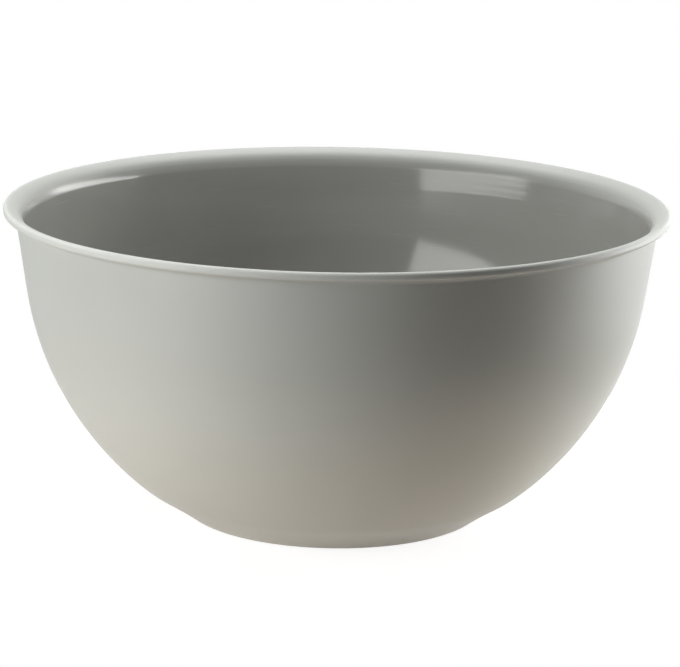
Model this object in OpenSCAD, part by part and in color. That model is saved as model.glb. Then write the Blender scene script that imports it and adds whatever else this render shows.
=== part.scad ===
// Mixing bowl: a one-piece shell with a flared lip, a round belly and a low foot,
// and a soft non-slip ring seated in a groove in the underside of the foot.
// The axis of the bowl is the Z axis, and the bowl stands on z = 0.

/* [Rim] */
// Outer diameter of the lip
rim_d = 250; // [210:1:290]
// Height of the lip's outer edge
lip_t = 3.1; // [2.4:0.1:4.5]
// Rounding of the lip's edge, above and below
lip_corner_r = 1.3; // [0.6:0.1:1.5]
// How far the lip stands out from the outer wall
lip_overhang = 4.4; // [3:0.1:8]
// Fillet between the outer wall and the underside of the lip
lip_under_r = 2.7; // [1:0.1:3.4]
// Radius of the flare that turns the inner wall out into the lip
flare_r = 9; // [8:0.5:16]

/* [Wall] */
// Height from the underside of the foot to the top of the lip
bowl_h = 118; // [104:1:140]
// Thickness of the wall
wall_t = 3; // [2:0.1:4]
// Slope of the straight part of the wall, in degrees from upright
wall_draft = 8; // [3:0.5:14]

/* [Foot] */
// Diameter of the foot at its lower edge
foot_d = 116; // [90:1:140]
// How far the foot's edge stands out from the sweep of the belly
foot_step = 0.7; // [0.2:0.1:1.5]
// Rounding of the foot's lower edges
foot_edge_r = 1; // [0.4:0.1:1.2]
// Width of the foot's underside
foot_w = 8.5; // [7.5:0.1:12]
// Radius of the shallow hollow above the foot
foot_hollow_r = 200; // [80:5:400]
// Height above the foot at which the belly starts to straighten
foot_blend_h = 13; // [11:0.5:18]
// Radius of the turn from the belly into the shallow hollow
foot_shoulder_r = 40; // [20:1:60]

/* [Floor] */
// Thickness of the floor
floor_t = 3.2; // [2.4:0.1:5]
// Radius of the turn from the floor up into the wall, inside
floor_blend_r = 25; // [12:1:40]
// Height of the recess under the floor
recess_h = 2.2; // [1.2:0.1:4]
// Fillet in the corner of the recess
recess_corner_r = 1; // [0.4:0.1:1.1]
// Radius of the shallow dimple at the middle of the underside
dimple_r = 5; // [3:0.5:8]
// Depth of the dimple
dimple_depth = 0.5; // [0.2:0.1:0.8]
// Radius of the moulding nub in the dimple
nub_r = 1.1; // [0.6:0.1:1.6]
// Height of the nub
nub_h = 0.35; // [0.1:0.05:0.6]

/* [Non-slip ring] */
// Width of the ring
ring_w = 3.6; // [2.4:0.1:4]
// How far the ring stands out below the foot
ring_proud = 0.6; // [0.3:0.1:1.2]
// Rounding of the ring's lower edges
ring_edge_r = 0.5; // [0.1:0.1:0.8]
// Depth of the groove in the foot
groove_depth = 2; // [1.2:0.1:2.6]
// Distance from the foot's outer edge to the groove
groove_inset = 2.2; // [1.8:0.1:2.6]
// Clearance between the ring and each side of its groove
ring_gap = 0.15; // [0.05:0.05:0.3]

/* [Hidden] */

// Largest distance between a drawn arc and the true one
arc_tol = 0.015;
// Facets of a full turn
turn_fn = 180;

// Radii and heights of the lip and the foot
rim_r = rim_d / 2;
foot_r = foot_d / 2;
foot_z = ring_proud;
rim_z = foot_z + bowl_h;
lip_under_z = rim_z - lip_t;
corner_r = min(lip_corner_r, lip_t / 2);

// Directions across the straight wall, pointing out, and along it, pointing up
wall_out = [cos(wall_draft), -sin(wall_draft)];
wall_up = [sin(wall_draft), cos(wall_draft)];

// The belly is the sphere that the straight wall touches and that meets the foot
wall_top_r = rim_r - lip_overhang;
sweep_foot_r = foot_r - foot_step;
wall_reach = wall_top_r * cos(wall_draft) - (lip_under_z - foot_z) * sin(wall_draft);
belly_rise = (wall_reach * sin(wall_draft)
    + sqrt(pow(wall_reach, 2) - pow(sweep_foot_r * cos(wall_draft), 2))) / pow(cos(wall_draft), 2);
belly_r = wall_reach + belly_rise * sin(wall_draft);
belly_c = [0, foot_z + belly_rise];
cavity_r = belly_r - wall_t;

// Fillet under the lip, no larger than the overhang leaves room for
under_room = (lip_overhang - corner_r) * cos(wall_draft) / (1 - sin(wall_draft));
under_r = min(lip_under_r, under_room);
under_c = [
    (belly_r + under_r + (lip_under_z - under_r - belly_c[1]) * sin(wall_draft)) / cos(wall_draft),
    lip_under_z - under_r
];

// Corners of the lip, and the flare that touches the upper one and the inner wall
lip_low_c = [rim_r - corner_r, lip_under_z + corner_r];
lip_high_c = [rim_r - corner_r, rim_z - corner_r];
flare_foot = belly_c + (cavity_r + flare_r) * wall_out;
flare_to_lip = lip_high_c - flare_foot;
flare_off = flare_to_lip * wall_out;
flare_c = flare_foot + (flare_to_lip * wall_up - sqrt(pow(flare_r - corner_r, 2) - pow(flare_off, 2))) * wall_up;

// Roundings of the foot, which share the height of the recess at most
edge_r = min(foot_edge_r, recess_h / 2);
recess_round_r = min(recess_corner_r, recess_h / 2);

// Outer side of the foot: its edge, the shallow hollow and the turn into the belly
edge_c = [foot_r - edge_r, foot_z + edge_r];
blend_z = foot_z + foot_blend_h;
blend_p = [sqrt(pow(belly_r, 2) - pow(belly_c[1] - blend_z, 2)), blend_z];
shoulder_c = belly_c + (blend_p - belly_c) * (belly_r - foot_shoulder_r) / belly_r;
hollow_c = meet(edge_c, foot_hollow_r + edge_r, shoulder_c, foot_hollow_r + foot_shoulder_r);

// Floor inside, and the turn from it into the wall
panel_z = foot_z + recess_h;
floor_z = panel_z + floor_t;
turn_c = [
    sqrt(pow(cavity_r - floor_blend_r, 2) - pow(belly_c[1] - floor_z - floor_blend_r, 2)),
    floor_z + floor_blend_r
];

// Groove for the ring, and the ring in it
groove_r1 = foot_r - groove_inset;
groove_r0 = groove_r1 - ring_w - 2 * ring_gap;
groove_z = foot_z + groove_depth;
ring_r1 = groove_r1 - ring_gap;
ring_r0 = ring_r1 - ring_w;
recess_r = foot_r - foot_w;

function angle_of(v) = atan2(v[1], v[0]);

// Points along an arc about c from angle a0 to angle a1
function arc(c, r, a0, a1) =
    let (steps = max(2, ceil(abs(a1 - a0) / (2 * acos(1 - min(arc_tol / r, 1))))))
    [for (i = [0:steps]) let (a = a0 + (a1 - a0) * i / steps) c + r * [cos(a), sin(a)]];

// Where two circles cross, on the right of the way from c0 to c1
function meet(c0, r0, c1, r1) =
    let (way = c1 - c0)
    let (span = norm(way))
    let (along = (pow(span, 2) + pow(r0, 2) - pow(r1, 2)) / (2 * span))
    let (aside = sqrt(pow(r0, 2) - pow(along, 2)))
    c0 + (along * way + aside * [way[1], -way[0]]) / span;

// Underside of the bowl, from the axis out to the foot's outer edge
function underside_points() = concat(
    [
        [0, panel_z + dimple_depth - nub_h],
        [nub_r, panel_z + dimple_depth - nub_h],
        [nub_r, panel_z + dimple_depth],
        [dimple_r, panel_z + dimple_depth],
        [dimple_r + dimple_depth, panel_z]
    ],
    arc([recess_r - recess_round_r, panel_z - recess_round_r], recess_round_r, 90, 0),
    arc([recess_r + edge_r, foot_z + edge_r], edge_r, 180, 270),
    [
        [groove_r0, foot_z],
        [groove_r0, groove_z],
        [groove_r1, groove_z],
        [groove_r1, foot_z]
    ]
);

// Outside of the bowl, from the foot's edge up to the underside of the lip
function outside_points() = concat(
    arc(edge_c, edge_r, -90, angle_of(hollow_c - edge_c)),
    arc(hollow_c, foot_hollow_r, angle_of(edge_c - hollow_c), angle_of(shoulder_c - hollow_c)),
    arc(shoulder_c, foot_shoulder_r, angle_of(hollow_c - shoulder_c), angle_of(blend_p - belly_c)),
    arc(belly_c, belly_r, angle_of(blend_p - belly_c), -wall_draft),
    arc(under_c, under_r, 180 - wall_draft, 90)
);

// Edge of the lip and the flare into the bowl
function lip_points() = concat(
    arc(lip_low_c, corner_r, -90, 0),
    arc(lip_high_c, corner_r, 0, angle_of(lip_high_c - flare_c)),
    arc(flare_c, flare_r, angle_of(lip_high_c - flare_c), 180 - wall_draft)
);

// Inside of the bowl, from the straight wall down to the middle of the floor
function inside_points() = concat(
    arc(belly_c, cavity_r, -wall_draft, angle_of(turn_c - belly_c)),
    arc(turn_c, floor_blend_r, angle_of(turn_c - belly_c), -90),
    [[0, floor_z]]
);

module bowl() {
    color([0.74, 0.745, 0.72])
        rotate_extrude($fn = turn_fn)
            polygon(concat(underside_points(), outside_points(), lip_points(), inside_points()));
}

module non_slip_ring() {
    color([0.36, 0.36, 0.35])
        rotate_extrude($fn = turn_fn)
            polygon(concat(
                arc([ring_r0 + ring_edge_r, ring_edge_r], ring_edge_r, 180, 270),
                arc([ring_r1 - ring_edge_r, ring_edge_r], ring_edge_r, -90, 0),
                [
                    [ring_r1, groove_z],
                    [ring_r0, groove_z]
                ]
            ));
}

bowl();
non_slip_ring();
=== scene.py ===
import math
import bpy
from mathutils import Matrix, Vector


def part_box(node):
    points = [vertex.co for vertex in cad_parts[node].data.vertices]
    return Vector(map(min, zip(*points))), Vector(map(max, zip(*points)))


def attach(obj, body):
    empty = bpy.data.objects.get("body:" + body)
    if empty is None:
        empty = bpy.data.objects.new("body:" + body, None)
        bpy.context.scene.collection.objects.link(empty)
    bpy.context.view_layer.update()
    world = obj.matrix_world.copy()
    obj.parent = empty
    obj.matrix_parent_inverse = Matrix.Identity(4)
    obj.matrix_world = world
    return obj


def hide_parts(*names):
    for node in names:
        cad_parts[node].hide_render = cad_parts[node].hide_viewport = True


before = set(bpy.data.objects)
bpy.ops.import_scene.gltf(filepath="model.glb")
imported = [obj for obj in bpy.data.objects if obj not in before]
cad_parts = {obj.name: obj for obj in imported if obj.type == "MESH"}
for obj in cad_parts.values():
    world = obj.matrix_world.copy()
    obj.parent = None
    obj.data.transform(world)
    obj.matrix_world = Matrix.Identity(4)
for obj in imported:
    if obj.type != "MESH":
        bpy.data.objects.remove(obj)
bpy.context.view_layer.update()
print("frame loaded:", ", ".join(sorted(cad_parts)))


# Node helpers

def socketNamed(sockets, key):
    # a node keeps one socket per data type under the same name, and only one is in use
    if isinstance(key, int):
        return sockets[key]
    return next(s for s in sockets if s.name == key and s.enabled)


def addNode(tree, kind, inputs=None, **settings):
    # inputs hold plain values, or the sockets to link from
    made = tree.nodes.new(kind)
    for name, value in settings.items():
        setattr(made, name, value)
    for key, value in (inputs or {}).items():
        socket = socketNamed(made.inputs, key)
        if isinstance(value, bpy.types.NodeSocket):
            tree.links.new(value, socket)
        else:
            socket.default_value = value
    return made


def calc(tree, operation, first, second=0.0, third=0.0):
    return addNode(tree, "ShaderNodeMath", {0: first, 1: second, 2: third}, operation=operation).outputs[0]


def vectorCalc(tree, operation, inputs):
    return addNode(tree, "ShaderNodeVectorMath", inputs, operation=operation).outputs[0]


def blendNumbers(tree, share, low, high):
    return addNode(tree, "ShaderNodeMix", {0: share, 2: low, 3: high}, data_type="FLOAT").outputs[0]


def blendColours(tree, share, low, high):
    return addNode(tree, "ShaderNodeMix", {0: share, 6: low, 7: high}, data_type="RGBA").outputs[2]


def stepBetween(tree, value, start, end):
    # 0 below start, 1 above end, smooth between them
    return addNode(
        tree, "ShaderNodeMapRange", {"Value": value, "From Min": start, "From Max": end},
        interpolation_type="SMOOTHSTEP",
    ).outputs[0]


noiseMiddle = 0.5  # the level that a noise swings about


def noiseOn(tree, vector, scale, seed, detail):
    return addNode(
        tree, "ShaderNodeTexNoise", {"Vector": vector, "W": seed, "Scale": scale, "Detail": detail},
        noise_dimensions="4D",
    ).outputs[0]


def newGroup(name, kind, inputs, outputs):
    # inputs are (label, socket type, default), outputs are (label, socket type)
    tree = bpy.data.node_groups.new(name, kind)
    for label, socketType, default in inputs:
        socket = tree.interface.new_socket(label, in_out="INPUT", socket_type=socketType)
        if default is not None:
            socket.default_value = default
    for label, socketType in outputs:
        tree.interface.new_socket(label, in_out="OUTPUT", socket_type=socketType)
    return tree, tree.nodes.new("NodeGroupInput").outputs, tree.nodes.new("NodeGroupOutput").inputs


# Drawing a section, in metres as (distance from the axis, height)

sectionDetail = {
    "arcTolerance": 4e-6,   # between an arc and its chords
    "longestChord": 0.0024,
    "samePoint": 1e-7,
    "fullEdge": 0.0012,     # a rounding as tight as this counts as an edge that wears and is painted paler
    "edgeBlur": 8,          # smoothing passes over the edge marks
}

# what a section's points carry: 0 for satin to 1 for glossy, 0 to 1 for an edge, and metres along the section
sectionMarks = ("side", "edge", "along")


def arcPoints(centre, radius, start, end):
    chord = 2 * math.acos(1 - min(sectionDetail["arcTolerance"] / radius, 1))
    chord = min(chord, sectionDetail["longestChord"] / radius)
    steps = max(3, math.ceil(abs(end - start) / chord))
    angles = [start + (end - start) * i / steps for i in range(steps + 1)]
    return [centre + radius * Vector((math.cos(a), math.sin(a))) for a in angles]


def heading(start, end):
    return math.atan2(end.y - start.y, end.x - start.x)


def circlesMeet(first, firstRadius, second, secondRadius):
    # the crossing on the right of the way from first to second
    way = second - first
    span = way.length
    along = (span ** 2 + firstRadius ** 2 - secondRadius ** 2) / (2 * span)
    aside = math.sqrt(firstRadius ** 2 - along ** 2)
    return first + (along * way + aside * Vector((way.y, -way.x))) / span


def roundedPath(corners):
    # corners are (distance, height, rounding), and the two ends stay as they are
    points = [Vector(corners[0][:2])]
    for before, corner, after in zip(corners, corners[1:], corners[2:]):
        here, rounding = Vector(corner[:2]), corner[2]
        back = (Vector(before[:2]) - here).normalized()
        ahead = (Vector(after[:2]) - here).normalized()
        half = back.angle(ahead) / 2
        centre = here + (back + ahead).normalized() * rounding / math.sin(half)
        reach = rounding / math.tan(half)
        start = heading(centre, here + back * reach)
        turn = heading(centre, here + ahead * reach) - start
        turn = (turn + math.pi) % math.tau - math.pi
        points += arcPoints(centre, rounding, start, start + turn)
    return points + [Vector(corners[-1][:2])]


def evenOut(points):
    # drops doubled points and cuts straight stretches to the longest chord
    kept = [points[0]]
    for point in points[1:]:
        start, step = kept[-1], point - kept[-1]
        if step.length > sectionDetail["samePoint"]:
            pieces = math.ceil(step.length / sectionDetail["longestChord"])
            kept += [start + step * (i + 1) / pieces for i in range(pieces)]
    return kept


def edgeMarks(points):
    # 1 where the section turns tightly outwards, as a handled edge does, and 0 where it is flat or hollow
    marks = [0.0] * len(points)
    for i in range(1, len(points) - 1):
        back, ahead = points[i] - points[i - 1], points[i + 1] - points[i]
        turn = math.atan2(back.x * ahead.y - back.y * ahead.x, back.dot(ahead))
        bend = 2 * turn / (back.length + ahead.length)
        marks[i] = min(max(bend * sectionDetail["fullEdge"], 0.0), 1.0)
    for _ in range(sectionDetail["edgeBlur"]):
        padded = [marks[0]] + marks + [marks[-1]]
        marks = [(a + 2 * b + c) / 4 for a, b, c in zip(padded, padded[1:], padded[2:])]
    return marks


def sectionObject(name, points, side):
    # the section as a string of edges, with what the finish reads stored on its points
    mesh = bpy.data.meshes.new(name)
    mesh.from_pydata([(p.x, 0, p.y) for p in points], [(i, i + 1) for i in range(len(points) - 1)], [])
    along = [0.0]
    for start, end in zip(points, points[1:]):
        along.append(along[-1] + (end - start).length)
    for label, values in zip(sectionMarks, (side, edgeMarks(points), along)):
        mesh.attributes.new(label, "FLOAT", "POINT").data.foreach_set("value", values)
    made = bpy.data.objects.new(name, mesh)
    bpy.context.scene.collection.objects.link(made)
    return made


# The tree that turns a section about the axis, used for the bowl and for its ring

turning = {
    "weldDistance": 1e-6,   # closes the seam and gathers the points on the axis
    "sharpAngle": 0.6,      # radians between two faces from which the edge stays sharp
    "rippleDetail": 1.0,
}


def turnedGrid(tree, given):
    # a grid with one column per step of the turn and one row per point of the section
    gridSize = 1.0
    count = addNode(tree, "GeometryNodeAttributeDomainSize", {"Geometry": given["Section"]})
    rows = count.outputs["Point Count"]
    shape = addNode(tree, "GeometryNodeMeshGrid", {
        "Size X": gridSize, "Vertices X": calc(tree, "ADD", given["Turn Steps"], 1.0),
        "Size Y": gridSize, "Vertices Y": rows,
    }).outputs["Mesh"]
    spot = addNode(tree, "ShaderNodeSeparateXYZ", {0: tree.nodes.new("GeometryNodeInputPosition").outputs[0]})
    turnShare = calc(tree, "ADD", spot.outputs[0], gridSize / 2)
    rowShare = calc(tree, "ADD", spot.outputs[1], gridSize / 2)
    row = calc(tree, "ROUND", calc(tree, "MULTIPLY", rowShare, calc(tree, "SUBTRACT", rows, 1.0)))

    def onRow(value, dataType):
        # the section's own value at this row
        return addNode(tree, "GeometryNodeSampleIndex", {
            "Geometry": given["Section"], "Value": value, "Index": row,
        }, data_type=dataType, domain="POINT").outputs["Value"]

    for label in sectionMarks:
        mark = addNode(tree, "GeometryNodeInputNamedAttribute", {"Name": label}, data_type="FLOAT")
        shape = addNode(tree, "GeometryNodeStoreNamedAttribute", {
            "Geometry": shape, "Name": label, "Value": onRow(mark.outputs["Attribute"], "FLOAT"),
        }, data_type="FLOAT", domain="POINT").outputs[0]

    # each point goes to its place on the section, turned about the axis by its column's share
    place = tree.nodes.new("GeometryNodeInputPosition").outputs[0]
    place = addNode(tree, "ShaderNodeSeparateXYZ", {0: onRow(place, "FLOAT_VECTOR")})
    angle = calc(tree, "MULTIPLY", turnShare, math.tau)
    turned = addNode(tree, "ShaderNodeCombineXYZ", {
        0: calc(tree, "MULTIPLY", place.outputs[0], calc(tree, "COSINE", angle)),
        1: calc(tree, "MULTIPLY", place.outputs[0], calc(tree, "SINE", angle)),
        2: place.outputs[2],
    }).outputs[0]
    shape = addNode(tree, "GeometryNodeSetPosition", {"Geometry": shape, "Position": turned}).outputs[0]
    return addNode(tree, "GeometryNodeMergeByDistance", {
        "Geometry": shape, "Distance": given["Weld Distance"],
    }).outputs[0]


def rippled(tree, given, shape):
    # the faint ripple that a moulded wall has
    here = tree.nodes.new("GeometryNodeInputPosition").outputs[0]
    fineness = calc(tree, "DIVIDE", 1.0, given["Ripple Size"])
    ripple = noiseOn(tree, here, fineness, given["Ripple Seed"], turning["rippleDetail"])
    ripple = calc(tree, "MULTIPLY", calc(tree, "SUBTRACT", ripple, noiseMiddle), given["Ripple Height"])
    outwards = tree.nodes.new("GeometryNodeInputNormal").outputs[0]
    offset = vectorCalc(tree, "SCALE", {0: outwards, "Scale": ripple})
    return addNode(tree, "GeometryNodeSetPosition", {"Geometry": shape, "Offset": offset}).outputs[0]


def smoothed(tree, given, shape):
    # smooth all over, but for the corners that a mould leaves sharp
    shape = addNode(tree, "GeometryNodeSetShadeSmooth", {"Geometry": shape, "Shade Smooth": True}).outputs[0]
    bend = tree.nodes.new("GeometryNodeInputMeshEdgeAngle").outputs["Unsigned Angle"]
    sharp = addNode(tree, "FunctionNodeCompare", {
        0: bend, 1: given["Sharp Angle"],
    }, data_type="FLOAT", operation="GREATER_THAN").outputs[0]
    return addNode(tree, "GeometryNodeSetShadeSmooth", {
        "Geometry": shape, "Selection": sharp, "Shade Smooth": False,
    }, domain="EDGE").outputs[0]


def makeTurningTree():
    tree, given, result = newGroup("turnAboutAxis", "GeometryNodeTree", (
        ("Section", "NodeSocketGeometry", None),
        ("Turn Steps", "NodeSocketInt", 64),
        ("Weld Distance", "NodeSocketFloat", turning["weldDistance"]),
        ("Ripple Height", "NodeSocketFloat", 0.0),
        ("Ripple Size", "NodeSocketFloat", 0.02),
        ("Ripple Seed", "NodeSocketFloat", 0.0),
        ("Sharp Angle", "NodeSocketFloat", turning["sharpAngle"]),
        ("Finish", "NodeSocketMaterial", None),
    ), (("Geometry", "NodeSocketGeometry"),))
    shape = smoothed(tree, given, rippled(tree, given, turnedGrid(tree, given)))
    shape = addNode(tree, "GeometryNodeRealizeInstances", {"Geometry": shape}).outputs[0]
    shape = addNode(tree, "GeometryNodeSetMaterial", {
        "Geometry": shape, "Material": given["Finish"],
    }).outputs[0]
    tree.links.new(shape, result["Geometry"])
    return tree


turningTree = makeTurningTree()

# the tree's inputs that a piece may set, and what they are called among its values
turningInputs = {
    "Turn Steps": "turnSteps",
    "Ripple Height": "rippleHeight",
    "Ripple Size": "rippleSize",
    "Ripple Seed": "rippleSeed",
}


def turnedPiece(name, section, values, finish):
    # runs the tree on a section and keeps the result as a plain mesh at the origin
    settings = {label: values[key] for label, key in turningInputs.items() if key in values}
    settings["Finish"] = finish
    live = section.modifiers.new("turn", "NODES")
    live.node_group = turningTree
    for item in turningTree.interface.items_tree:
        if item.in_out == "INPUT" and item.name in settings:
            live[item.identifier] = settings[item.name]
    graph = bpy.context.evaluated_depsgraph_get()
    mesh = bpy.data.meshes.new_from_object(
        section.evaluated_get(graph), preserve_all_data_layers=True, depsgraph=graph
    )
    section.modifiers.remove(live)
    section.data = mesh
    section.name = mesh.name = name
    print(name, "turned:", len(mesh.polygons), "faces")
    return section


# Effects that the finishes share

effects = {
    "grainDetail": 3.0,
    "driftDetail": 2.0,
    "driftStart": 0.25,         # levels of a noise between which an effect sets in
    "driftFull": 0.75,
    "wearDetail": 4.0,
    "wearStart": 0.55,
    "wearFull": 1.0,
    "lineDetail": 1.0,
    "lineStart": 0.64,
    "lineFull": 0.72,
    "patchDetail": 2.0,
    "patchStart": 0.42,
    "patchFull": 0.62,
}


def spottedNoise(tree, given, size, detail):
    # noise with spots of the size that the group is given
    fineness = calc(tree, "DIVIDE", 1.0, given[size])
    return noiseOn(tree, given["Vector"], fineness, given["Seed"], effects[detail])


def makeGrainGroup():
    # fine grain of the mould's surface, and the slow drift in tone of the plastic
    tree, given, result = newGroup("mouldGrain", "ShaderNodeTree", (
        ("Vector", "NodeSocketVector", None),
        ("Grain Size", "NodeSocketFloat", 0.0005),
        ("Drift Size", "NodeSocketFloat", 0.05),
        ("Seed", "NodeSocketFloat", 0.0),
    ), (("Grain", "NodeSocketFloat"), ("Drift", "NodeSocketFloat")))
    fine = spottedNoise(tree, given, "Grain Size", "grainDetail")
    slow = spottedNoise(tree, given, "Drift Size", "driftDetail")
    tree.links.new(fine, result["Grain"])
    tree.links.new(stepBetween(tree, slow, effects["driftStart"], effects["driftFull"]), result["Drift"])
    return tree


def makeEdgeWearGroup():
    # broken patches along the edges that are handled, stacked and set down
    tree, given, result = newGroup("edgeWear", "ShaderNodeTree", (
        ("Vector", "NodeSocketVector", None),
        ("Edge", "NodeSocketFloat", 0.0),
        ("Patch Size", "NodeSocketFloat", 0.004),
        ("Reach", "NodeSocketFloat", 0.5),
        ("Seed", "NodeSocketFloat", 0.0),
    ), (("Worn", "NodeSocketFloat"),))
    patches = spottedNoise(tree, given, "Patch Size", "wearDetail")
    level = calc(tree, "MULTIPLY", given["Edge"], calc(tree, "ADD", patches, given["Reach"]))
    tree.links.new(stepBetween(tree, level, effects["wearStart"], effects["wearFull"]), result["Worn"])
    return tree


def makeHairlineGroup():
    # fine lines that run round the bowl: scuffs in patches, and an even polish
    tree, given, result = newGroup("hairlines", "ShaderNodeTree", (
        ("Vector", "NodeSocketVector", None),
        ("Along", "NodeSocketFloat", 0.0),
        ("Line Width", "NodeSocketFloat", 0.0004),
        ("Lines Round", "NodeSocketFloat", 6.0),
        ("Patch Size", "NodeSocketFloat", 0.04),
        ("Seed", "NodeSocketFloat", 0.0),
    ), (("Lines", "NodeSocketFloat"), ("Polish", "NodeSocketFloat")))
    # level direction from the axis, so that a line runs on round the bowl at one place along the section
    way = vectorCalc(tree, "MULTIPLY", {0: given["Vector"], 1: (1, 1, 0)})
    way = vectorCalc(tree, "NORMALIZE", {0: way})
    way = vectorCalc(tree, "SCALE", {0: way, "Scale": given["Lines Round"]})
    way = addNode(tree, "ShaderNodeSeparateXYZ", {0: way}).outputs
    across = calc(tree, "DIVIDE", given["Along"], given["Line Width"])
    path = addNode(tree, "ShaderNodeCombineXYZ", {0: way[0], 1: way[1], 2: across}).outputs[0]
    lines = noiseOn(tree, path, 1.0, given["Seed"], effects["lineDetail"])
    patches = spottedNoise(tree, given, "Patch Size", "patchDetail")
    shown = calc(
        tree, "MULTIPLY",
        stepBetween(tree, lines, effects["lineStart"], effects["lineFull"]),
        stepBetween(tree, patches, effects["patchStart"], effects["patchFull"]),
    )
    tree.links.new(shown, result["Lines"])
    tree.links.new(lines, result["Polish"])
    return tree


grainGroup = makeGrainGroup()
edgeWearGroup = makeEdgeWearGroup()
hairlineGroup = makeHairlineGroup()


def placeGroup(tree, group, inputs):
    return addNode(tree, "ShaderNodeGroup", inputs, node_tree=group).outputs


def newMaterial(name):
    made = bpy.data.materials.new(name)
    made.use_nodes = True
    tree = made.node_tree
    return made, tree, tree.nodes["Principled BSDF"].inputs


def pieceMark(tree, label):
    # one of the values that the section's points carry
    mark = addNode(tree, "ShaderNodeAttribute", attribute_name=label, attribute_type="GEOMETRY")
    return mark.outputs["Fac"]


def bumpFrom(tree, shader, height):
    # height in metres
    bump = addNode(tree, "ShaderNodeBump", {"Strength": 1.0, "Distance": 1.0, "Height": height})
    tree.links.new(bump.outputs[0], shader["Normal"])


# The bowl

bowlValues = {
    # shape, in metres
    "lipHeight": 0.0031,        # height of the lip's outer edge
    "lipCorner": 0.0013,        # rounding of that edge
    "lipOverhang": 0.0044,      # how far the lip stands out from the wall
    "underLipFillet": 0.0027,
    "flareRadius": 0.009,       # turn of the inner wall out into the lip
    "glossStart": 46.0,         # degrees up that turn from its foot where satin starts to fade into gloss
    "glossFull": 6.0,           # and where it is as glossy as the inside
    "wallThickness": 0.003,
    "wallDraft": 8.0,           # degrees from upright
    "footRadius": 0.058,
    "footStep": 0.0007,         # how far the foot stands out from the belly's sweep
    "footEdge": 0.001,
    "footWidth": 0.0085,
    "hollowRadius": 0.2,        # shallow hollow above the foot
    "shoulderHeight": 0.013,    # where the belly starts to straighten
    "shoulderRadius": 0.04,
    "floorThickness": 0.0032,
    "floorBlend": 0.025,        # turn from the floor into the wall, inside
    "recessHeight": 0.0022,     # under the floor, inside the foot
    "recessCorner": 0.001,
    "dimpleRadius": 0.005,      # round the moulding nub in the middle of the underside
    "dimpleDepth": 0.0005,
    "nubRadius": 0.0011,
    "nubHeight": 0.00035,
    "grooveDepth": 0.002,
    "grooveInset": 0.0022,      # from the foot's outer edge
    "grooveWidth": 0.0039,
    "fineCorner": 0.00015,      # what a mould leaves on its sharpest corners
    "turnSteps": 288,
    "rippleHeight": 0.000015,
    "rippleSize": 0.03,
    "rippleSeed": 5.0,
    # colours and roughness
    "plastic": (0.455, 0.47, 0.44, 1),
    "paler": (0.475, 0.49, 0.46, 1),        # where the tone drifts
    "insidePaintedShade": (0.765, 0.747, 0.737, 1), # painted shade: the same plastic multiplied darker where it is glossy, which is the inside of the bowl
    "paintedEdgeLight": (0.59, 0.605, 0.57, 1),     # painted light: tight outward edges are painted paler, standing in for light let through them
    "wornEdge": (0.56, 0.57, 0.54, 1),
    "scuffed": (0.54, 0.55, 0.52, 1),
    "satinRoughness": 0.46,
    "glossRoughness": 0.1,
    "edgeRoughness": 0.6,
    "wornRoughness": 0.3,
    "scuffRoughness": 0.4,      # on top of the roughness round it
    "roughnessDrift": 0.05,
    "refraction": 1.5,
    # grain, polish and use
    "grainSize": 0.0006,
    "grainDepth": 0.000012,
    "driftSize": 0.06,
    "grainSeed": 3.0,
    "polishWidth": 0.0009,      # fine rings that polishing left in the inner half of the mould
    "polishDepth": 0.0000015,
    "polishRound": 1.5,         # how quickly they change on the way round
    "polishSeed": 19.0,
    "toolMarkPitch": 0.0027,    # faint rings from turning the mould, on the inner wall under the flare
    "toolMarkDepth": 0.0000028,
    "toolMarkStart": 0.1,       # heights above the table between which they fade in
    "toolMarkFull": 0.106,
    "leanStart": 0.1036,        # height from which the inner wall is shaded as if it leaned out more
    "leanBlend": 0.0015,
    "leanSlope": 0.03,
    "hairlineWidth": 0.00035,   # scuffs from whisks and spoons inside and from stacking outside
    "hairlineRound": 6.0,
    "hairlinePatch": 0.04,
    "hairlineShow": 0.25,
    "hairlineSeed": 11.0,
    "wearPatch": 0.003,
    "wearReach": 0.42,          # how far wear spreads from the tightest edges
    "wearShow": 0.12,
    "wearSeed": 7.0,
}


def innerWallHeight(tree, spot, along, look):
    # polish, tool marks and the lean under the flare, where what the wall mirrors ends crisply
    polish = placeGroup(tree, hairlineGroup, {
        "Vector": spot, "Along": along, "Line Width": look["polishWidth"],
        "Lines Round": look["polishRound"], "Seed": look["polishSeed"],
    })["Polish"]
    level = addNode(tree, "ShaderNodeSeparateXYZ", {0: spot}).outputs[2]
    marks = calc(tree, "SINE", calc(tree, "MULTIPLY", level, math.tau / look["toolMarkPitch"]))
    marksShare = stepBetween(tree, level, look["toolMarkStart"], look["toolMarkFull"])
    marks = calc(tree, "MULTIPLY", marks, marksShare)
    lean = calc(tree, "SMOOTH_MAX", calc(tree, "SUBTRACT", level, look["leanStart"]), 0.0, look["leanBlend"])
    height = calc(
        tree, "ADD",
        calc(tree, "MULTIPLY", polish, look["polishDepth"]),
        calc(tree, "MULTIPLY", marks, look["toolMarkDepth"]),
    )
    return calc(tree, "SUBTRACT", height, calc(tree, "MULTIPLY", lean, look["leanSlope"]))


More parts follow.
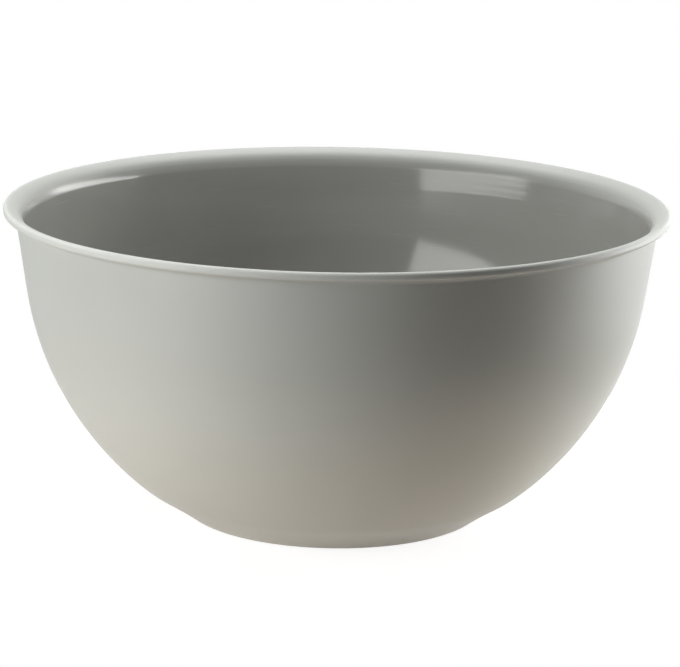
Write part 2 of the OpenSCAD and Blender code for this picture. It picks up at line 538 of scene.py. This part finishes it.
def makeBowlFinish(look):
    made, tree, shader = newMaterial("bowl_plastic")
    spot = tree.nodes.new("ShaderNodeTexCoord").outputs["Object"]
    side, edge, along = (pieceMark(tree, label) for label in sectionMarks)
    grain = placeGroup(tree, grainGroup, {
        "Vector": spot, "Grain Size": look["grainSize"],
        "Drift Size": look["driftSize"], "Seed": look["grainSeed"],
    })
    worn = placeGroup(tree, edgeWearGroup, {
        "Vector": spot, "Edge": edge, "Patch Size": look["wearPatch"],
        "Reach": look["wearReach"], "Seed": look["wearSeed"],
    })["Worn"]
    scuffs = placeGroup(tree, hairlineGroup, {
        "Vector": spot, "Along": along,
        "Line Width": look["hairlineWidth"], "Lines Round": look["hairlineRound"],
        "Patch Size": look["hairlinePatch"], "Seed": look["hairlineSeed"],
    })["Lines"]
    scuffShare = calc(tree, "MULTIPLY", scuffs, look["hairlineShow"])
    wornShare = calc(tree, "MULTIPLY", worn, look["wearShow"])
    gloss = stepBetween(tree, side, 0.0, 1.0)

    # the plastic's own colour, then painted shade inside, paler edges that are painted light, and scuffs and
    # worn spots on top
    colour = blendColours(tree, grain["Drift"], look["plastic"], look["paler"])
    # painted shade: where the share is glossy, the colour is multiplied darker
    colour = addNode(tree, "ShaderNodeMix", {
        0: gloss, 6: colour, 7: look["insidePaintedShade"],
    }, data_type="RGBA", blend_type="MULTIPLY").outputs[2]
    # painted light: the tightest outward edges are made paler
    colour = blendColours(tree, edge, colour, look["paintedEdgeLight"])
    colour = blendColours(tree, scuffShare, colour, look["scuffed"])
    colour = blendColours(tree, wornShare, colour, look["wornEdge"])
    tree.links.new(colour, shader["Base Color"])

    drift = calc(tree, "SUBTRACT", grain["Drift"], noiseMiddle)
    drift = calc(tree, "MULTIPLY", drift, look["roughnessDrift"])
    rough = blendNumbers(tree, gloss, look["satinRoughness"], look["glossRoughness"])
    rough = calc(tree, "ADD", rough, drift)
    rough = calc(tree, "ADD", rough, calc(tree, "MULTIPLY", scuffShare, look["scuffRoughness"]))
    rough = blendNumbers(tree, edge, rough, look["edgeRoughness"])
    rough = blendNumbers(tree, wornShare, rough, look["wornRoughness"])
    tree.links.new(rough, shader["Roughness"])

    outside = calc(tree, "MULTIPLY", grain["Grain"], look["grainDepth"])
    inside = innerWallHeight(tree, spot, along, look)
    bumpFrom(tree, shader, blendNumbers(tree, gloss, outside, inside))
    shader["IOR"].default_value = look["refraction"]
    return made


def underside(shape, footZ, edge):
    # from the axis out: nub, dimple, recess, and the foot with the groove that holds the ring
    panelZ = footZ + shape["recessHeight"]
    dimpleZ = panelZ + shape["dimpleDepth"]
    nubZ = dimpleZ - shape["nubHeight"]
    recessRadius = shape["footRadius"] - shape["footWidth"]
    grooveOut = shape["footRadius"] - shape["grooveInset"]
    grooveIn = grooveOut - shape["grooveWidth"]
    grooveZ = footZ + shape["grooveDepth"]
    fine = shape["fineCorner"]
    return roundedPath([
        (0, nubZ, 0),
        (shape["nubRadius"], nubZ, fine),
        (shape["nubRadius"], dimpleZ, fine),
        (shape["dimpleRadius"], dimpleZ, fine),
        (shape["dimpleRadius"] + shape["dimpleDepth"], panelZ, fine),
        (recessRadius, panelZ, min(shape["recessCorner"], shape["recessHeight"] / 2)),
        (recessRadius, footZ, edge),
        (grooveIn, footZ, fine),
        (grooveIn, grooveZ, fine),
        (grooveOut, grooveZ, fine),
        (grooveOut, footZ, fine),
        (shape["footRadius"] - edge, footZ, 0),
    ])


def outerWall(shape, footZ, edge, belly, bellyRadius):
    # the foot's edge, the shallow hollow above it, the turn into the belly, and the belly
    draft = math.radians(shape["wallDraft"])
    footEdge = Vector((shape["footRadius"] - edge, footZ + edge))
    turnIn = shape["shoulderRadius"]
    shoulderZ = footZ + shape["shoulderHeight"]
    shoulderTop = Vector((math.sqrt(bellyRadius ** 2 - (belly.y - shoulderZ) ** 2), shoulderZ))
    shoulder = belly + (shoulderTop - belly) * (bellyRadius - turnIn) / bellyRadius
    hollow = circlesMeet(footEdge, shape["hollowRadius"] + edge, shoulder, shape["hollowRadius"] + turnIn)
    return (
        arcPoints(footEdge, edge, -math.pi / 2, heading(footEdge, hollow))
        + arcPoints(hollow, shape["hollowRadius"], heading(hollow, footEdge), heading(hollow, shoulder))
        + arcPoints(shoulder, turnIn, heading(shoulder, hollow), heading(belly, shoulderTop))
        + arcPoints(belly, bellyRadius, heading(belly, shoulderTop), -draft)
    )


def cavity(shape, footZ, belly, cavityRadius):
    # the inner belly from the straight wall down, the turn into the floor, and the floor
    draft = math.radians(shape["wallDraft"])
    floorZ = footZ + shape["recessHeight"] + shape["floorThickness"]
    blend = shape["floorBlend"]
    blendRise = belly.y - floorZ - blend
    blendCentre = Vector((math.sqrt((cavityRadius - blend) ** 2 - blendRise ** 2), floorZ + blend))
    return (
        arcPoints(belly, cavityRadius, -draft, heading(belly, blendCentre))
        + arcPoints(blendCentre, blend, heading(belly, blendCentre), -math.pi / 2)
        + [Vector((0, floorZ))]
    )


def bowlSection(shape):
    low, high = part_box("bowl")
    rimRadius, rimTop, footZ = high.x, high.z, low.z
    draft = math.radians(shape["wallDraft"])
    out = Vector((math.cos(draft), -math.sin(draft)))
    up = Vector((math.sin(draft), math.cos(draft)))
    corner = min(shape["lipCorner"], shape["lipHeight"] / 2)
    edge = min(shape["footEdge"], shape["recessHeight"] / 2)
    lipUnder = rimTop - shape["lipHeight"]

    # the belly is the sphere that the straight wall touches and that meets the foot
    sweepFoot = shape["footRadius"] - shape["footStep"]
    reach = (rimRadius - shape["lipOverhang"]) * out.x + (lipUnder - footZ) * out.y
    rise = (reach * up.x + math.sqrt(reach ** 2 - (sweepFoot * out.x) ** 2)) / out.x ** 2
    bellyRadius = reach + rise * up.x
    belly = Vector((0, footZ + rise))
    cavityRadius = bellyRadius - shape["wallThickness"]

    # fillet under the lip, the two corners of the lip, and the flare
    fillet = min(shape["underLipFillet"], (shape["lipOverhang"] - corner) * out.x / (1 - up.x))
    filletZ = lipUnder - fillet
    filletCentre = Vector(((bellyRadius + fillet + (filletZ - belly.y) * up.x) / out.x, filletZ))
    lowCorner = Vector((rimRadius - corner, lipUnder + corner))
    highCorner = Vector((rimRadius - corner, rimTop - corner))
    flareFoot = belly + (cavityRadius + shape["flareRadius"]) * out
    toLip = highCorner - flareFoot
    aside = math.sqrt((shape["flareRadius"] - corner) ** 2 - toLip.dot(out) ** 2)
    flare = flareFoot + (toLip.dot(up) - aside) * up

    # satin outside and on the lip, glossy inside, and the one fades into the other on the flare; the painted
    # shade inside follows the same share
    flareEnd = math.pi - draft
    glossStart = flareEnd - math.radians(shape["glossStart"])
    glossFull = flareEnd - math.radians(shape["glossFull"])
    satin = evenOut(
        underside(shape, footZ, edge)
        + outerWall(shape, footZ, edge, belly, bellyRadius)
        + arcPoints(filletCentre, fillet, math.pi - draft, math.pi / 2)
        + arcPoints(lowCorner, corner, -math.pi / 2, 0)
        + arcPoints(highCorner, corner, 0, heading(flare, highCorner))
        + arcPoints(flare, shape["flareRadius"], heading(flare, highCorner), glossStart)
    )
    fading = evenOut(arcPoints(flare, shape["flareRadius"], glossStart, glossFull))[1:]
    glossy = evenOut(
        arcPoints(flare, shape["flareRadius"], glossFull, flareEnd)
        + cavity(shape, footZ, belly, cavityRadius)
    )[1:]
    fadingShares = [(i + 1) / len(fading) for i in range(len(fading))]
    return satin + fading + glossy, [0.0] * len(satin) + fadingShares + [1.0] * len(glossy)


def makeBowl(values):
    section = sectionObject("bowlSection", *bowlSection(values))
    bowl = turnedPiece("mixingBowl", section, values, makeBowlFinish(values))
    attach(bowl, "root")
    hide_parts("bowl")


makeBowl(bowlValues)


# The soft ring in the foot

ringValues = {
    "sideGap": 0.00015,         # to each side of its groove
    "lowerEdge": 0.0005,
    "upperEdge": 0.0002,
    "turnSteps": 240,
    "rippleHeight": 0.0,        # it stands flat on the table
    "rubber": (0.105, 0.105, 0.1, 1),
    "dusty": (0.2, 0.198, 0.19, 1),
    "rubbed": (0.16, 0.158, 0.152, 1),
    "roughness": 0.72,
    "rubbedRoughness": 0.5,
    "grainSize": 0.0003,
    "grainDepth": 0.00002,
    "grainSeed": 23.0,
    "dustSize": 0.006,
    "dustShow": 0.35,
    "wearPatch": 0.002,
    "wearReach": 0.45,
    "wearSeed": 29.0,
}


def makeRingFinish(look):
    made, tree, shader = newMaterial("soft_ring")
    spot = tree.nodes.new("ShaderNodeTexCoord").outputs["Object"]
    grain = placeGroup(tree, grainGroup, {
        "Vector": spot, "Grain Size": look["grainSize"],
        "Drift Size": look["dustSize"], "Seed": look["grainSeed"],
    })
    worn = placeGroup(tree, edgeWearGroup, {
        "Vector": spot, "Edge": pieceMark(tree, "edge"), "Patch Size": look["wearPatch"],
        "Reach": look["wearReach"], "Seed": look["wearSeed"],
    })["Worn"]
    dust = calc(tree, "MULTIPLY", grain["Drift"], look["dustShow"])
    colour = blendColours(tree, dust, look["rubber"], look["dusty"])
    tree.links.new(blendColours(tree, worn, colour, look["rubbed"]), shader["Base Color"])
    tree.links.new(blendNumbers(tree, worn, look["roughness"], look["rubbedRoughness"]), shader["Roughness"])
    bumpFrom(tree, shader, calc(tree, "MULTIPLY", grain["Grain"], look["grainDepth"]))
    return made


def ringSection(shape):
    low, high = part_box("non_slip_ring")
    width = bowlValues["grooveWidth"] - 2 * shape["sideGap"]
    outer, inner = high.x, high.x - width
    middle = (outer + inner) / 2
    points = evenOut(roundedPath([
        (middle, low.z, 0),
        (outer, low.z, shape["lowerEdge"]),
        (outer, high.z, shape["upperEdge"]),
        (inner, high.z, shape["upperEdge"]),
        (inner, low.z, shape["lowerEdge"]),
        (middle, low.z, 0),
    ]))
    return points, [0.0] * len(points)


def makeRing(values):
    section = sectionObject("ringSection", *ringSection(values))
    ring = turnedPiece("nonSlipRing", section, values, makeRingFinish(values))
    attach(ring, "root")
    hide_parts("non_slip_ring")


makeRing(ringValues)


# Studio: a small pale table, a white backdrop and soft lamps at both sides and above

studio = {
    "floorHalf": 0.168,
    "floorColour": (1.0, 0.83, 0.67, 1),    # as the bowl sees it
    "floorShown": (0.3, 0.3, 0.3, 1),       # its share that keeps the shadow in the picture
    "floorGlow": 0.86,
    "floorRoughness": 0.9,
    "roomColour": (0.97, 0.985, 1.0, 1),
    "roomLevel": 0.015,
    "white": (1, 1, 1, 1),
    "backdropStart": -0.1,      # where the white backdrop begins, as a share of the way to the back
    "backdropFull": 0.5,
}

# angles in degrees, the azimuth turning right from the camera's side
lamps = {
    "leftSoftbox": {
        "azimuth": -60, "elevation": 18.6, "distance": 0.62, "width": 0.55, "height": 0.2, "power": 1.62,
    },
    "leftStrip": {
        "azimuth": -45, "elevation": 0, "distance": 0.5, "width": 0.36, "height": 0.09, "power": 0.95,
    },
    "rightSoftbox": {
        "azimuth": 117, "elevation": 17, "distance": 0.62, "width": 0.6, "height": 0.13, "power": 1.62,
    },
    "rightStrip": {
        "azimuth": 102, "elevation": 0, "distance": 0.5, "width": 0.24, "height": 0.09, "power": 1.55,
    },
    "overhead": {
        "azimuth": 180, "elevation": 74, "distance": 0.9, "width": 1.0, "height": 0.7, "power": 8.7,
    },
    "overheadLeft": {
        "azimuth": -110, "elevation": 58, "distance": 0.9, "width": 0.6, "height": 0.4, "power": 1.0,
    },
}
lampAim = Vector((0, 0, 0.07))


def seenWhite(tree, place, start, end):
    # white to the camera everywhere, and to reflections and glass where the backdrop is, behind the bowl
    ray = tree.nodes.new("ShaderNodeLightPath").outputs
    back = stepBetween(tree, addNode(tree, "ShaderNodeSeparateXYZ", {0: place}).outputs[1], start, end)
    mirrored = calc(tree, "MAXIMUM", ray["Is Glossy Ray"], ray["Is Transmission Ray"])
    return calc(tree, "MAXIMUM", ray["Is Camera Ray"], calc(tree, "MULTIPLY", mirrored, back))


def makeFloor(look):
    mesh = bpy.data.meshes.new("floor")
    half = look["floorHalf"]
    corners = [(-half, -half, 0), (half, -half, 0), (half, half, 0), (-half, half, 0)]
    mesh.from_pydata(corners, [], [range(len(corners))])
    floor = bpy.data.objects.new("floor", mesh)
    bpy.context.scene.collection.objects.link(floor)
    made, tree, shader = newMaterial("pale_floor")
    shader["Base Color"].default_value = look["floorColour"]
    shader["Roughness"].default_value = look["floorRoughness"]
    plain = tree.nodes["Principled BSDF"].outputs[0]
    shade = addNode(tree, "ShaderNodeBsdfDiffuse", {"Color": look["floorShown"]}).outputs[0]
    glow = addNode(tree, "ShaderNodeEmission", {
        "Color": look["white"], "Strength": look["floorGlow"],
    }).outputs[0]
    shown = addNode(tree, "ShaderNodeAddShader", {0: shade, 1: glow}).outputs[0]
    ray = tree.nodes.new("ShaderNodeLightPath").outputs
    seen = calc(tree, "MAXIMUM", ray["Is Camera Ray"], ray["Is Glossy Ray"])
    seen = calc(tree, "MAXIMUM", seen, ray["Is Transmission Ray"])
    top = addNode(tree, "ShaderNodeMixShader", {0: seen, 1: plain, 2: shown}).outputs[0]

    # a camera under the floor sees through it
    clear = tree.nodes.new("ShaderNodeBsdfTransparent").outputs[0]
    below = tree.nodes.new("ShaderNodeNewGeometry").outputs["Backfacing"]
    both = addNode(tree, "ShaderNodeMixShader", {
        0: calc(tree, "MULTIPLY", below, ray["Is Camera Ray"]), 1: top, 2: clear,
    }).outputs[0]
    tree.links.new(both, tree.nodes["Material Output"].inputs["Surface"])
    mesh.materials.append(made)


def makeRoom(look):
    world = bpy.data.worlds.new("paleRoom")
    bpy.context.scene.world = world
    world.use_nodes = True
    tree = world.node_tree
    background = tree.nodes["Background"].inputs
    way = tree.nodes.new("ShaderNodeTexCoord").outputs["Generated"]
    seen = seenWhite(tree, way, look["backdropStart"], look["backdropFull"])
    tree.links.new(blendColours(tree, seen, look["roomColour"], look["white"]), background["Color"])
    tree.links.new(blendNumbers(tree, seen, look["roomLevel"], 1.0), background["Strength"])


def makeLamp(name, lamp):
    azimuth, elevation = math.radians(lamp["azimuth"]), math.radians(lamp["elevation"])
    away = Vector((
        math.sin(azimuth) * math.cos(elevation), -math.cos(azimuth) * math.cos(elevation), math.sin(elevation)
    ))
    light = bpy.data.lights.new(name, "AREA")
    light.shape = "RECTANGLE"
    light.size, light.size_y = lamp["width"], lamp["height"]
    light.energy = lamp["power"]
    holder = bpy.data.objects.new(name, light)
    holder.location = lampAim + away * lamp["distance"]
    holder.rotation_euler = away.to_track_quat("Z", "Y").to_euler()
    holder.visible_camera = False
    bpy.context.scene.collection.objects.link(holder)


makeFloor(studio)
makeRoom(studio)
for lampName, lampValues in lamps.items():
    makeLamp(lampName, lampValues)
bpy.context.scene.view_settings.view_transform = "Standard"
print("studio ready:", len(lamps), "lamps")


# Camera where the photograph was taken from, worked out from the ellipses of the lip and the foot

photoView = {
    "distance": 1.0,        # in front of the bowl's axis
    "height": 0.3104,
    "pan": 0.102,           # degrees to the right
    "tilt": 13.638,         # degrees down
    "roll": 0.916,          # degrees
    "focal": 2700.3,        # in pixels of the picture
    "pictureWidth": 680,    # pixels
    "sensor": 36.0,         # millimetres
}


def makeCamera(look):
    pan, tilt, roll = (math.radians(look[key]) for key in ("pan", "tilt", "roll"))
    ahead = Vector((math.sin(pan) * math.cos(tilt), math.cos(pan) * math.cos(tilt), -math.sin(tilt)))
    level = Vector((math.cos(pan), -math.sin(pan), 0))
    above = level.cross(ahead)
    right = math.cos(roll) * level + math.sin(roll) * above
    up = math.cos(roll) * above - math.sin(roll) * level
    lens = bpy.data.cameras.new("photoCamera")
    lens.sensor_width = look["sensor"]
    lens.lens = look["focal"] * look["sensor"] / look["pictureWidth"]
    camera = bpy.data.objects.new("photoCamera", lens)
    place = Matrix.Translation((0, -look["distance"], look["height"]))
    camera.matrix_world = place @ Matrix((right, up, -ahead)).transposed().to_4x4()
    bpy.context.scene.collection.objects.link(camera)
    bpy.context.scene.camera = camera


makeCamera(photoView)
print("camera placed")
